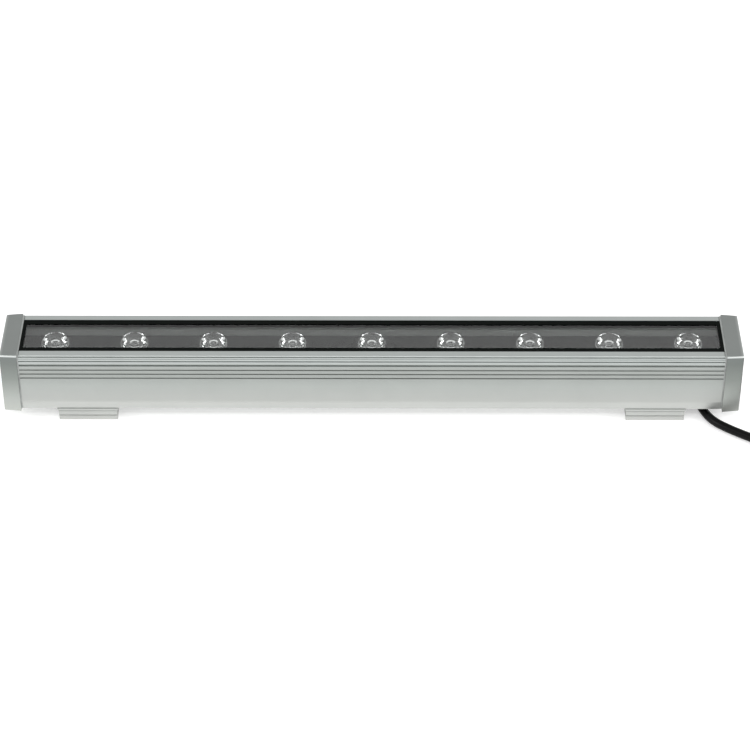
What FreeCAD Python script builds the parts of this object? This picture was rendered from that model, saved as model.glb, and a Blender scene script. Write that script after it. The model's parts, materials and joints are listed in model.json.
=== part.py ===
import FreeCAD
import Part
import Sketcher

import math
import os
import re

# LED strip batten: a sealed aluminium bar with nine lenses under a glass window, carried by two
# sliding, tilting brackets, with a supply cord that leaves the underside near the right end.
# X runs along the bar, the front faces -Y, Z is up, and the feet stand on Z = 0.

V = FreeCAD.Vector
TAU = 2 * math.pi

SIZES = {
    # whole bar
    "overall_length": 500,
    "body_width": 46,
    "body_height": 45.5,
    "body_bottom": 10,
    "body_corner": 0.9,
    "skirt_height": 6.6,
    "skirt_inset": 1,
    "overcut": 1,
    # end caps, gaskets and their screws
    "cap_length": 11.5,
    "cap_width": 48,
    "cap_height": 47.5,
    "cap_bottom": 9,
    "cap_draft": 3,
    "cap_bevel": 1.1,
    "cap_face_round": 0.7,
    "cap_relief_depth": 5,
    "cap_relief_width": 25,
    "cap_relief_height": 34,
    "cap_relief_bottom": 14,
    "gasket_thickness": 1,
    "gasket_inset": 0.1,
    "cap_screw_across": 17,
    "cap_screw_low": 19.5,
    "cap_screw_high": 34.5,
    "cap_screw_head_radius": 2.8,
    "cap_screw_head_height": 2,
    "cap_screw_radius": 1.45,
    "cap_screw_length": 17,
    "cap_hole_radius": 1.7,
    "cap_counterbore_radius": 3.2,
    "cap_counterbore_depth": 2.2,
    "screw_port_radius": 1.5,
    # window, tray and wiring chamber of the profile
    "rim_width": 5.5,
    "ledge_drop": 5.1,
    "ledge_width": 1.7,
    "tray_drop": 15.5,
    "floor_thickness": 3,
    "chamber_width": 39,
    "chamber_bottom": 17,
    "screw_boss": 5,
    "slot_mouth": 8.5,
    "slot_width": 13.5,
    "slot_lip": 1.8,
    "slot_depth": 5.3,
    # decorative grooves, measured down from the top
    "groove1_drop": 1.2,
    "groove2_drop": 2.8,
    "groove3_drop": 4.8,
    "groove4_drop": 8.2,
    "groove5_drop": 12.1,
    "groove6_drop": 15.5,
    "groove7_drop": 18.9,
    "fine_groove_width": 0.5,
    "fine_groove_depth": 0.35,
    "groove_width": 0.9,
    "groove_depth": 0.8,
    "wide_groove_width": 1.7,
    "wide_groove_depth": 1.2,
    # glass and its seal
    "glass_thickness": 4,
    "seal_lip_width": 4.3,
    "seal_end_width": 2.3,
    "seal_lip_thickness": 0.4,
    "seal_web": 0.8,
    # LED board
    "board_width": 29.8,
    "board_length": 473,
    "board_thickness": 1.6,
    "pad_thickness": 0.4,
    "pad_inset": 1,
    "led_pitch": 53.7,
    "led_package": 3.5,
    "led_package_height": 0.9,
    "led_dome_radius": 1.5,
    "board_screw_y": -6.5,
    "board_screw_head_radius": 2.75,
    "board_screw_head_height": 1.5,
    "board_screw_radius": 1.4,
    "board_screw_length": 3.6,
    "board_hole_radius": 1.6,
    "board_tap_radius": 1.43,
    "board_tap_depth": 2.2,
    "lead_hole_x": 26,
    "lead_hole_y": -9.25,
    "lead_hole_radius": 3.2,
    # lens and holder, heights above the board
    "holder_radius": 9.6,
    "holder_wall": 0.8,
    "holder_height": 4.7,
    "holder_floor": 0.7,
    "holder_opening": 4.9,
    "lens_bottom": 0.9,
    "lens_base_radius": 5.4,
    "lens_inlet_radius": 3.4,
    "lens_inlet_top": 3.4,
    "lens_flange_bottom": 4.8,
    "lens_flange_top": 5.6,
    "lens_flange_radius": 9.5,
    "lens_face_radius": 8.4,
    "lens_face_edge": 7.9,
    "lens_apex": 8.4,
    "lens_inlet_dome": 7,
    "lens_inlet_sag": 0.7,
    # driver in the wiring chamber
    "driver_x": 60,
    "driver_length": 110,
    "driver_width": 25,
    "driver_z": 21,
    "driver_thickness": 1.6,
    "tray_margin": 0.5,
    "tray_wall": 0.6,
    "tray_side": 9,
    "tray_notch_width": 6,
    "standoff_radius": 2,
    "standoff_inset": 3.5,
    # parts on the driver board, placed from its left end
    "transformer_x": 62,
    "transformer_length": 18,
    "transformer_width": 15,
    "transformer_height": 11,
    "core_limb": 3,
    "core_yoke": 2.3,
    "winding_gap": 0.1,
    "winding_width": 10,
    "bobbin_radius": 3.4,
    "bobbin_length": 14,
    "can1_x": 94,
    "can1_y": 3,
    "can1_radius": 5,
    "can1_height": 12,
    "can2_x": 82,
    "can2_y": -6,
    "can2_radius": 4,
    "can2_height": 11.5,
    "can3_x": 20,
    "can3_y": -5,
    "can3_radius": 4,
    "can3_height": 11,
    "chip1_x": 10,
    "chip1_y": 5,
    "chip1_length": 6,
    "chip1_width": 4,
    "chip2_x": 36,
    "chip2_y": -7,
    "chip2_length": 5,
    "chip2_width": 4,
    "chip3_x": 104,
    "chip3_y": -6,
    "chip3_length": 4,
    "chip3_width": 6,
    "chip_height": 1.7,
    "inductor_x": 38,
    "inductor_y": 4,
    "inductor_radius": 4.6,
    "inductor_winding": 2.3,
    # terminals, earth screw and inner leads
    "terminal_x": 178,
    "terminal_length": 12,
    "terminal_width": 22,
    "terminal_height": 11,
    "terminal_pitch": 6.5,
    "terminal_hole": 1.8,
    "terminal_hole_depth": 6,
    "earth_x": 200,
    "earth_y": -8,
    "earth_washer_radius": 4,
    "earth_washer_thickness": 0.8,
    "earth_head_radius": 3.5,
    "earth_head_height": 2.4,
    "earth_slot_length": 5,
    "earth_slot_width": 1,
    "lead_radius": 0.9,
    "core_spacing": 1.9,
    "output_lead_spacing": 2.6,
    # cord outlet and cord
    "cord_diameter": 6,
    "outlet_x": 219.8,
    "outlet_y": 10.5,
    "outlet_hole_radius": 3,
    "boot_z": 5,
    "boot_radius": 4.6,
    "boot_flange_radius": 5.5,
    "boot_flange_height": 1.2,
    "boot_lip_radius": 3.9,
    "boot_lip_height": 1.5,
    "boot_nose_radius": 3.5,
    "boot_heading": -76,
    "boot_straight": 1.5,
    "boot_taper": 20,
    # brackets
    "bracket_x": 193.5,
    "bracket_width": 39.8,
    "bracket_flare": 0.8,
    "bracket_flare_height": 2,
    "bracket_front": -22.5,
    "shoe_bottom": 4.5,
    "shoe_top": 9.9,
    "shoe_line_z": 7.9,
    "shoe_line_depth": 0.5,
    "shoe_line_width": 0.6,
    "shoe_key_width": 8.1,
    "shoe_key_height": 1.5,
    "shoe_key_inset": 2,
    "shoe_key_root": 0.5,
    "foot_thickness": 3.7,
    "foot_back": 14.4,
    "foot_corner": 1.2,
    "foot_overlap": 1,
    "hinge_y": 19,
    "hinge_z": 5,
    "knuckle_radius": 3.8,
    "knuckle_half": 7.6,
    "knuckle_gap": 0.4,
    "knuckle_front_gap": 0.1,
    "knuckle_flat": 1.4,
    "pin_radius": 1.5,
    "pin_hole_radius": 1.53,
    "pin_running_radius": 1.55,
    "pin_inset": 0.4,
    "foot_hole_y": 13,
    "foot_hole_radius": 2.25,
    "foot_sink_radius": 4.2,
    "foot_sink_depth": 1.4,
    "foot_access_radius": 4.9,
    "bolt_radius": 2.45,
    "bolt_clearance": 2.75,
    "bolt_head_radius": 4.2,
    "bolt_head_height": 2.9,
    "bolt_sink_radius": 4.6,
    "bolt_sink_depth": 3.2,
    "bolt_length": 7.2,
    "nut_length": 12.8,
    "nut_width": 12.4,
    "nut_bottom": 11.95,
    "nut_thickness": 3.1,
    "nut_hole_radius": 2.5,
    # coil of spare cord and its tie
    "coil_x": 306,
    "coil_y": -30,
    "coil_base": 1,
    "coil_inner": 22.4,
    "coil_outer": 41.6,
    "coil_top_inner": 25.6,
    "coil_top_outer": 38.4,
    "coil_shoulder": 5.2,
    "coil_height": 11.7,
    "coil_exit_radius": 35.2,
    "coil_exit_y": 21.5,
    "tie_angle": 60,
    "tie_width": 8,
    "tie_thickness": 1,
    # connector at the cord's end
    "plug_tail_length": 14,
    "plug_tail_radius": 3.5,
    "plug_body_radius": 6.2,
    "plug_body_length": 17,
    "plug_neck_radius": 4.9,
    "plug_neck_length": 15,
    "plug_pin_radius": 0.9,
    "plug_pin_length": 4,
    "plug_pin_circle": 2.4,
    "plug_pin_root": 2,
    "plug_wall": 1,
    "plug_recess_depth": 5,
    "plug_z": 7.8,
    "ring_radius": 7.6,
    "ring_bore": 5.3,
    "ring_length": 12,
    "ring_offset": 1,
}

# Heights worked out from the cells above.
BODY_TOP = "(body_bottom + body_height)"
PROFILE_LENGTH = "(overall_length - 2 * (cap_length + gasket_thickness))"
LEDGE_Z = f"({BODY_TOP} - ledge_drop)"
TRAY_Z = f"({BODY_TOP} - tray_drop)"
BOARD_Z = f"({TRAY_Z} + pad_thickness)"
BOARD_TOP = f"({BOARD_Z} + board_thickness)"
GLASS_Z = f"({LEDGE_Z} + seal_lip_thickness)"
OPENING = "(body_width - 2 * rim_width)"
CHAMBER_TOP = f"({TRAY_Z} - floor_thickness)"
LED_COUNT = 9
LEDS = range(-(LED_COUNT // 2), LED_COUNT // 2 + 1)
BOARD_SCREW_PITCHES = (-3.5, -1.5, 1.5, 3.5)
GROOVE_KINDS = ("", "fine_", "", "wide_", "", "", "")

# The cord's route by hand, from the boot's nose to where the coil starts.
CORD_ROUTE = [
    (225.0, -10.35, 4.6),
    (227.8, -18.7, 3.7),
    (233.6, -27.6, 3.15),
    (243.2, -35.4, 3.05),
    (254.9, -43.3, 3.05),
    (268.6, -52.1, 3.1),
    (283.6, -61.2, 3.6),
]

# Routes of the inner leads by hand. A core's y goes from the cord's centre at share 0 to its own
# terminal at share 1. The two output leads run side by side up to the LED board.
CORE_ROUTE = [  # x, share, z
    (219.8, 0, 18.5),
    (219.8, 0, 24),
    (213, 0.1, 27.5),
    (202, 0.5, 27.5),
    (193, 0.95, 26),
    (188, 1, 21),
    (184, 1, 21),
]
OUTPUT_ROUTE = [  # x, z
    (64, 23.5),
    (52, 24.8),
    (40, 24.4),
    (27.5, 29.1),
    (26, 36.6),
    (26, 43.2),
]

doc = FreeCAD.newDocument("led_strip_batten")
sheet = doc.addObject("Spreadsheet::Sheet", "dims")
for row, (alias, size) in enumerate(SIZES.items(), 1):
    sheet.set(f"A{row}", alias)
    sheet.set(f"B{row}", str(size))
    sheet.setAlias(f"B{row}", alias)
doc.recompute()

nodes = {}


def formula(text):
    """The text with the sheet's name put before each size that it names."""
    return re.sub(r"[a-z][a-z0-9_]*", lambda m: "dims." + m[0] if m[0] in SIZES else m[0], text)


def value(text):
    """The number that a formula gives."""
    return float(sheet.evalExpression(formula(text)))


def bind(obj, **formulas):
    """Binds an object's properties to formulas."""
    for prop, text in formulas.items():
        obj.setExpression(prop, formula(text))
    return obj


def place(obj, x="0", y="0", z="0"):
    for axis, text in zip("xyz", (x, y, z)):
        obj.setExpression(f"Placement.Base.{axis}", formula(text))
    return obj


def node(obj, name):
    """Names an object as one of the assembly's nodes."""
    obj.Label = name
    nodes[name] = obj
    return obj


# Part primitives and booleans


def box(length, width, height, x, y, z):
    """A box bound to formulas, centred on x and y, standing on z."""
    obj = bind(doc.addObject("Part::Box", "box"), Length=length, Width=width, Height=height)
    return place(obj, f"{x} - ({length}) / 2", f"{y} - ({width}) / 2", z)


AXES = {"x": (V(0, 1, 0), 90), "y": (V(1, 0, 0), -90), "z": (V(0, 0, 1), 0)}


def turned(obj, along, x, y, z):
    obj.Placement.Rotation = FreeCAD.Rotation(*AXES[along])
    return place(obj, x, y, z)


def cylinder(radius, height, x, y, z, along="z"):
    """A cylinder from (x, y, z) in the positive direction of an axis."""
    obj = bind(doc.addObject("Part::Cylinder", "cylinder"), Radius=radius, Height=height)
    return turned(obj, along, x, y, z)


def cone(radius1, radius2, height, x, y, z, along="z"):
    obj = doc.addObject("Part::Cone", "cone")
    bind(obj, Radius1=radius1, Radius2=radius2, Height=height)
    return turned(obj, along, x, y, z)


def hexagon(radius, height, x, y, z, along="z"):
    obj = doc.addObject("Part::Prism", "hexagon")
    obj.Polygon = 6
    bind(obj, Circumradius=radius, Height=height)
    return turned(obj, along, x, y, z)


def fuse(*shapes):
    obj = doc.addObject("Part::MultiFuse", "fuse")
    obj.Shapes = shapes
    return obj


def cut(base, *tools):
    obj = doc.addObject("Part::Cut", "cut")
    obj.Base = base
    obj.Tool = tools[0] if len(tools) == 1 else fuse(*tools)
    return obj


def group(shapes):
    """Separate solids that share one node."""
    obj = doc.addObject("Part::Compound", "group")
    obj.Links = shapes
    return obj


# PartDesign bodies


def new_body(name):
    return node(doc.addObject("PartDesign::Body", name), name)


def plane(body, role):
    return next(o for o in body.Origin.OriginFeatures if o.Role == role)


def sketch_on(body, role, offset="0"):
    sketch = body.newObject("Sketcher::SketchObject", "sketch")
    sketch.AttachmentSupport = [(plane(body, role), "")]
    sketch.MapMode = "FlatFace"
    sketch.setExpression("AttachmentOffset.Base.z", formula(offset))
    return sketch


def outline(sketch, corners):
    """A closed outline through corners (x, y), each bound to its formulas.

    A corner with a third entry starts an arc of that radius, which turns left on its way to the
    next corner, or right where the radius is given as a pair with "right".
    """
    first = sketch.GeometryCount
    points = [V(value(c[0]), value(c[1]), 0) for c in corners]
    geometry, ends = [], []
    for i, corner in enumerate(corners):
        a, b = points[i], points[(i + 1) % len(corners)]
        if len(corner) == 2:
            geometry.append(Part.LineSegment(a, b))
            ends.append((1, 2))
            continue
        right = isinstance(corner[2], tuple)
        start, end = (b, a) if right else (a, b)
        radius = value(corner[2][0] if right else corner[2])
        chord = end - start
        rise = math.sqrt(max(radius**2 - chord.Length**2 / 4, 0))
        left = V(-chord.y, chord.x, 0).normalize()
        centre = (start + end) * 0.5 + left * rise
        angles = [math.atan2(p.y - centre.y, p.x - centre.x) for p in (start, end)]
        circle = Part.Circle(centre, V(0, 0, 1), radius)
        geometry.append(Part.ArcOfCircle(circle, angles[0], angles[1] + TAU * (angles[1] < angles[0])))
        ends.append((2, 1) if right else (1, 2))
    sketch.addGeometry(geometry, False)
    rules, texts = [], []
    for i, corner in enumerate(corners):
        after = (i + 1) % len(corners)
        rules.append(Sketcher.Constraint("Coincident", first + i, ends[i][1], first + after, ends[after][0]))
        texts.append(None)
        for kind, text, size in zip(("DistanceX", "DistanceY"), corner, (points[i].x, points[i].y)):
            rules.append(Sketcher.Constraint(kind, -1, 1, first + i, ends[i][0], size))
            texts.append(text)
        if len(corner) == 3:
            text = corner[2][0] if isinstance(corner[2], tuple) else corner[2]
            rules.append(Sketcher.Constraint("Radius", first + i, value(text)))
            texts.append(text)
    index = sketch.ConstraintCount
    sketch.addConstraint(rules)
    for i, text in enumerate(texts):
        if text is not None:
            sketch.setExpression(f"Constraints[{index + i}]", formula(text))


def rectangle(sketch, x0, y0, x1, y1):
    outline(sketch, [(x0, y0), (x1, y0), (x1, y1), (x0, y1)])


def circle(sketch, x, y, radius):
    number = sketch.GeometryCount
    index = sketch.ConstraintCount
    start = V(value(x), value(y), 0)
    sketch.addGeometry(Part.Circle(start, V(0, 0, 1), value(radius)), False)
    sketch.addConstraint(
        [
            Sketcher.Constraint("DistanceX", -1, 1, number, 3, start.x),
            Sketcher.Constraint("DistanceY", -1, 1, number, 3, start.y),
            Sketcher.Constraint("Radius", number, value(radius)),
        ]
    )
    for i, text in enumerate((x, y, radius)):
        sketch.setExpression(f"Constraints[{index + i}]", formula(text))


def pad(body, sketch, length, side="One side", taper="0"):
    feature = body.newObject("PartDesign::Pad", "pad")
    feature.Profile = sketch
    feature.SideType = side
    bind(feature, Length=length, TaperAngle=taper)
    doc.recompute()
    return feature


def pocket(body, sketch, length=None, reverse=False):
    """Cuts to a length against the sketch's normal, or right through both ways without one."""
    before = body.Shape.Volume
    feature = body.newObject("PartDesign::Pocket", "pocket")
    feature.Profile = sketch
    if length is None:
        feature.Type = "ThroughAll"
        feature.SideType = "Symmetric"
    else:
        feature.Reversed = reverse
        bind(feature, Length=length)
    doc.recompute()
    assert body.Shape.Volume < before - 1e-3, f"a pocket of {body.Label} cuts nothing"
    return feature


def edges_where(feature, test):
    """Names of the edges whose two ends both pass the test."""
    return [
        f"Edge{i}"
        for i, edge in enumerate(feature.Shape.Edges, 1)
        if len(edge.Vertexes) == 2 and all(test(v.Point) for v in edge.Vertexes)
    ]


def rounded(body, feature, test, radius, kind="Fillet", prop="Radius"):
    obj = body.newObject(f"PartDesign::{kind}", kind.lower())
    obj.Base = (feature, edges_where(feature, test))
    bind(obj, **{prop: radius})
    doc.recompute()
    return obj


def near(a, b):
    return abs(a - b) < 0.01


# Tubes that follow a route of straight runs and tangent arcs


def route_path(points, name=None):
    """A wire along the points, each corner turned by the largest arc that its two runs allow."""
    points = [V(*p) for p in points]
    edges, start, radii = [], points[0], []
    for before, corner, after in zip(points, points[1:], points[2:]):
        back, ahead = before - corner, after - corner
        half = (math.pi - back.getAngle(ahead)) / 2
        reach = 0.45 * min(back.Length, ahead.Length)
        radii.append(reach / math.tan(half))
        back.normalize()
        ahead.normalize()
        inside = (back + ahead).normalize()
        middle = corner + inside * (radii[-1] / math.cos(half) - radii[-1])
        enter, leave = corner + back * reach, corner + ahead * reach
        edges.append(Part.LineSegment(start, enter).toShape())
        edges.append(Part.Arc(enter, middle, leave).toShape())
        start = leave
    edges.append(Part.LineSegment(start, points[-1]).toShape())
    wire = Part.Wire(edges)
    if name:
        print(f"{name}: length {wire.Length:.1f}, radii " + ", ".join(f"{r:.1f}" for r in radii))
    return wire


def tube(points, radius, name=None):
    """A solid round tube along a route, its volume compared with section times length."""
    wire = route_path(points, name)
    section = Part.Wire(Part.Circle(V(*points[0]), V(*points[1]) - V(*points[0]), radius).toShape())
    solid = wire.makePipeShell([section], True, True)
    expected = math.pi * radius**2 * wire.Length
    assert abs(solid.Volume - expected) < 0.01 * expected, f"tube {name} has the wrong volume"
    return solid


def feature(shape, name):
    """A node whose shape no primitive or body makes."""
    obj = doc.addObject("Part::Feature", name)
    obj.Shape = shape
    return node(obj, name)


# Places that several parts share


def board_screw_xs():
    return [f"({pitches} * led_pitch)" for pitches in BOARD_SCREW_PITCHES]


def screw_spots():
    for across in ("-cap_screw_across", "cap_screw_across"):
        for height in ("cap_screw_low", "cap_screw_high"):
            yield across, height


# Housing profile


def profile_outline(inset="0"):
    """The bar's section: upright sides over a skirt that leans in."""
    half = f"(body_width / 2 - {inset})"
    foot = f"({half} - skirt_inset)"
    low, high = f"(body_bottom + {inset})", f"({BODY_TOP} - {inset})"
    knee = "(body_bottom + skirt_height)"
    return [
        (f"-{foot}", low),
        (foot, low),
        (half, knee),
        (half, high),
        (f"-{half}", high),
        (f"-{half}", knee),
    ]


def housing_profile():
    body = new_body("housing_profile")
    sketch = sketch_on(body, "YZ_Plane")
    outline(sketch, profile_outline())
    bar = pad(body, sketch, PROFILE_LENGTH, "Symmetric")
    top, half = value(BODY_TOP), value("body_width / 2")
    rounded(body, bar, lambda p: near(p.z, top) and near(abs(p.y), half), "body_corner")

    sketch = sketch_on(body, "YZ_Plane")
    above = f"({BODY_TOP} + overcut)"
    opening, tray = f"({OPENING} / 2)", f"({OPENING} / 2 - ledge_width)"
    outline(
        sketch,
        [
            (f"-{tray}", TRAY_Z),
            (tray, TRAY_Z),
            (tray, LEDGE_Z),
            (opening, LEDGE_Z),
            (opening, above),
            (f"-{opening}", above),
            (f"-{opening}", LEDGE_Z),
            (f"-{tray}", LEDGE_Z),
        ],
    )
    pocket(body, sketch)

    sketch = sketch_on(body, "YZ_Plane")
    wide, waist = "(chamber_width / 2)", "(chamber_width / 2 - screw_boss)"
    low, high = "chamber_bottom", CHAMBER_TOP
    low_step, high_step = "(chamber_bottom + screw_boss)", f"({CHAMBER_TOP} - screw_boss)"
    outline(
        sketch,
        [
            (f"-{waist}", low),
            (waist, low),
            (waist, low_step),
            (wide, low_step),
            (wide, high_step),
            (waist, high_step),
            (waist, high),
            (f"-{waist}", high),
            (f"-{waist}", high_step),
            (f"-{wide}", high_step),
            (f"-{wide}", low_step),
            (f"-{waist}", low_step),
        ],
    )
    pocket(body, sketch)

    sketch = sketch_on(body, "YZ_Plane")
    mouth, slot = "(slot_mouth / 2)", "(slot_width / 2)"
    lip, roof = "(body_bottom + slot_lip)", "(body_bottom + slot_depth)"
    outline(
        sketch,
        [
            (f"-{mouth}", "body_bottom - overcut"),
            (mouth, "body_bottom - overcut"),
            (mouth, lip),
            (slot, lip),
            (slot, roof),
            (f"-{slot}", roof),
            (f"-{slot}", lip),
            (f"-{mouth}", lip),
        ],
    )
    pocket(body, sketch)

    sketch = sketch_on(body, "YZ_Plane")
    for across, height in screw_spots():
        circle(sketch, across, height, "screw_port_radius")
    pocket(body, sketch)

    sketch = sketch_on(body, "YZ_Plane")
    face = "(-body_width / 2)"
    for number, kind in enumerate(GROOVE_KINDS, 1):
        middle = f"({BODY_TOP} - groove{number}_drop)"
        width, depth = f"{kind}groove_width", f"{kind}groove_depth"
        outline(
            sketch,
            [
                (f"{face} - overcut", f"{middle} - {width} / 2"),
                (face, f"{middle} - {width} / 2"),
                (f"{face} + {depth}", f"{middle} - {width} / 4"),
                (f"{face} + {depth}", f"{middle} + {width} / 4"),
                (face, f"{middle} + {width} / 2"),
                (f"{face} - overcut", f"{middle} + {width} / 2"),
            ],
        )
    grooves = pocket(body, sketch)
    other_side = body.newObject("PartDesign::Mirrored", "other_side")
    other_side.Originals = [grooves]
    other_side.MirrorPlane = (plane(body, "XZ_Plane"), [""])
    body.Tip = other_side
    before = grooves.Shape.Volume
    doc.recompute()
    assert body.Shape.Volume < before - 1, "the mirrored grooves cut nothing"

    sketch = sketch_on(body, "XY_Plane", TRAY_Z)
    circle(sketch, "lead_hole_x", "lead_hole_y", "lead_hole_radius")
    pocket(body, sketch, "floor_thickness")
    sketch = sketch_on(body, "XY_Plane", TRAY_Z)
    for x in board_screw_xs():
        circle(sketch, x, "board_screw_y", "board_tap_radius")
    pocket(body, sketch, "board_tap_depth")
    sketch = sketch_on(body, "XY_Plane", "chamber_bottom")
    circle(sketch, "outlet_x", "outlet_y", "outlet_hole_radius")
    pocket(body, sketch, "chamber_bottom - body_bottom")


# End caps, gaskets and cap screws


def end_cap(side, sign):
    """A drafted die-cast cap, clamped on the profile's end over a thin gasket.

    It is modelled with its inner face on X = 0 and then turned to its end.
    """
    body = new_body(f"{side}_end_cap")
    half, low, high = "(cap_width / 2)", "cap_bottom", "(cap_bottom + cap_height)"
    sketch = sketch_on(body, "YZ_Plane")
    rectangle(sketch, f"-{half}", low, half, high)
    block = pad(body, sketch, "cap_length", taper="-cap_draft")
    assert block.Shape.Volume < value("cap_width * cap_height * cap_length"), "the cap flares"
    length = value("cap_length")
    middle = value(f"({low} + {high}) / 2")
    long_edges = [
        f"Edge{i}"
        for i, edge in enumerate(block.Shape.Edges, 1)
        if abs(edge.Vertexes[0].X - edge.Vertexes[1].X) > length / 2
    ]
    upper = [e for e in long_edges if block.Shape.getElement(e).CenterOfMass.z > middle]
    bevel = body.newObject("PartDesign::Fillet", "bevel")
    bevel.Base = (block, upper)
    bind(bevel, Radius="cap_bevel")
    doc.recompute()
    face = rounded(body, bevel, lambda p: near(p.x, length), "cap_face_round")
    body.Tip = face

    sketch = sketch_on(body, "YZ_Plane")
    for across, height in screw_spots():
        circle(sketch, across, height, "cap_hole_radius")
    pocket(body, sketch)
    sketch = sketch_on(body, "YZ_Plane", "cap_length")
    for across, height in screw_spots():
        circle(sketch, across, height, "cap_counterbore_radius")
    pocket(body, sketch, "cap_counterbore_depth")
    sketch = sketch_on(body, "YZ_Plane")
    relief_half = "(cap_relief_width / 2)"
    rectangle(
        sketch,
        f"-{relief_half}",
        "cap_relief_bottom",
        relief_half,
        "cap_relief_bottom + cap_relief_height",
    )
    pocket(body, sketch, "cap_relief_depth", reverse=True)
    if sign < 0:
        body.Placement.Rotation = FreeCAD.Rotation(V(0, 0, 1), 180)
    place(body, f"{sign} * (overall_length / 2 - cap_length)")


def end_gasket(side, sign):
    body = new_body(f"{side}_end_gasket")
    sketch = sketch_on(body, "YZ_Plane")
    outline(sketch, profile_outline("gasket_inset"))
    for across, height in screw_spots():
        circle(sketch, across, height, "cap_hole_radius")
    pad(body, sketch, "gasket_thickness")
    if sign < 0:
        body.Placement.Rotation = FreeCAD.Rotation(V(0, 0, 1), 180)
    place(body, f"{sign} * {PROFILE_LENGTH} / 2")


def cap_screws(side, sign):
    """Four socket-head screws whose heads sit in the cap's counterbores."""
    seat = "(overall_length / 2 - cap_counterbore_depth)"
    if sign > 0:
        head_x, shank_x = seat, f"({seat} - cap_screw_length)"
        socket_x = f"({seat} + cap_screw_head_height / 2)"
    else:
        head_x, shank_x = f"(-{seat} - cap_screw_head_height)", f"(-{seat})"
        socket_x = f"(-{seat} - cap_screw_head_height)"
    screws = []
    for across, height in screw_spots():
        head = cylinder("cap_screw_head_radius", "cap_screw_head_height", head_x, across, height, "x")
        shank = cylinder("cap_screw_radius", "cap_screw_length", shank_x, across, height, "x")
        socket = hexagon("cap_screw_radius", "cap_screw_head_height / 2", socket_x, across, height, "x")
        screws.append(cut(fuse(head, shank), socket))
    node(group(screws), f"{side}_cap_screws")


# Glass, seal, LED board and optics


def window():
    length, width = f"({PROFILE_LENGTH} - 2 * seal_web)", f"({OPENING} - 2 * seal_web)"
    glass = box(length, width, "glass_thickness", "0", "0", GLASS_Z)
    node(glass, "cover_glass")
    seal_height = "glass_thickness + 2 * seal_lip_thickness"
    ring = box(PROFILE_LENGTH, OPENING, seal_height, "0", "0", LEDGE_Z)
    view = box(
        f"({PROFILE_LENGTH} - 2 * seal_end_width)",
        f"({OPENING} - 2 * seal_lip_width)",
        seal_height,
        "0",
        "0",
        LEDGE_Z,
    )
    channel = box(length, width, "glass_thickness", "0", "0", GLASS_Z)
    node(cut(ring, view, channel), "glass_seal")


def led_board():
    def holes(height, z):
        drilled = [
            cylinder("board_hole_radius", height, x, "board_screw_y", z) for x in board_screw_xs()
        ]
        return drilled + [cylinder("lead_hole_radius", height, "lead_hole_x", "lead_hole_y", z)]

    board = box("board_length", "board_width", "board_thickness", "0", "0", BOARD_Z)
    node(cut(board, *holes("board_thickness", BOARD_Z)), "led_board")
    pad_length, pad_width = "(board_length - 2 * pad_inset)", "(board_width - 2 * pad_inset)"
    sheet_pad = box(pad_length, pad_width, "pad_thickness", "0", "0", TRAY_Z)
    node(cut(sheet_pad, *holes("pad_thickness", TRAY_Z)), "thermal_pad")

    screws = []
    for x in board_screw_xs():
        head = cylinder("board_screw_head_radius", "board_screw_head_height", x, "board_screw_y", BOARD_TOP)
        shank_z = f"({BOARD_TOP} - board_screw_length)"
        shank = cylinder("board_screw_radius", "board_screw_length", x, "board_screw_y", shank_z)
        socket_z = f"({BOARD_TOP} + board_screw_head_height / 2)"
        socket = hexagon("board_screw_radius", "board_screw_head_height / 2", x, "board_screw_y", socket_z)
        screws.append(cut(fuse(head, shank), socket))
    node(group(screws), "board_screws")


def emitters_and_holders():
    emitters, holders = [], []
    for number in LEDS:
        x = f"({number} * led_pitch)"
        package = box("led_package", "led_package", "led_package_height", x, "0", BOARD_TOP)
        dome = bind(doc.addObject("Part::Sphere", "dome"), Radius="led_dome_radius")
        dome.Angle1 = 0
        place(dome, x, "0", f"{BOARD_TOP} + led_package_height")
        emitters.append(fuse(package, dome))
        cup = cylinder("holder_radius", "holder_height", x, "0", BOARD_TOP)
        hollow = cylinder(
            "holder_radius - holder_wall",
            "holder_height - holder_floor",
            x,
            "0",
            f"{BOARD_TOP} + holder_floor",
        )
        opening = cylinder("holder_opening", "holder_height", x, "0", BOARD_TOP)
        holders.append(cut(cup, hollow, opening))
    node(group(emitters), "led_emitters")
    node(group(holders), "lens_holders")


def lens(number, place_in_row):
    """A clear conical lens with a hollow over its emitter, turned about its own axis."""
    body = new_body(f"lens_{number}")
    sketch = sketch_on(body, "XZ_Plane")
    outline(
        sketch,
        [
            ("lens_inlet_radius", "lens_bottom"),
            ("lens_base_radius", "lens_bottom"),
            ("lens_face_radius", "lens_flange_bottom"),
            ("lens_flange_radius", "lens_flange_bottom"),
            ("lens_flange_radius", "lens_flange_top"),
            ("lens_face_radius", "lens_flange_top"),
            (
                "lens_face_radius",
                "lens_face_edge",
                "(lens_face_radius ^ 2 + (lens_apex - lens_face_edge) ^ 2)"
                " / (2 * (lens_apex - lens_face_edge))",
            ),
            ("0", "lens_apex"),
            ("0", "lens_inlet_top - lens_inlet_sag", "lens_inlet_dome"),
            ("lens_inlet_radius", "lens_inlet_top"),
        ],
    )
    turned_solid = body.newObject("PartDesign::Revolution", "turned")
    turned_solid.Profile = sketch
    turned_solid.ReferenceAxis = (sketch, ["V_Axis"])
    turned_solid.Angle = 360
    place(body, f"{place_in_row} * led_pitch", "0", BOARD_TOP)


# Driver, terminals and inner leads in the lower chamber


DRIVER_TOP = "(driver_z + driver_thickness)"


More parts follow.
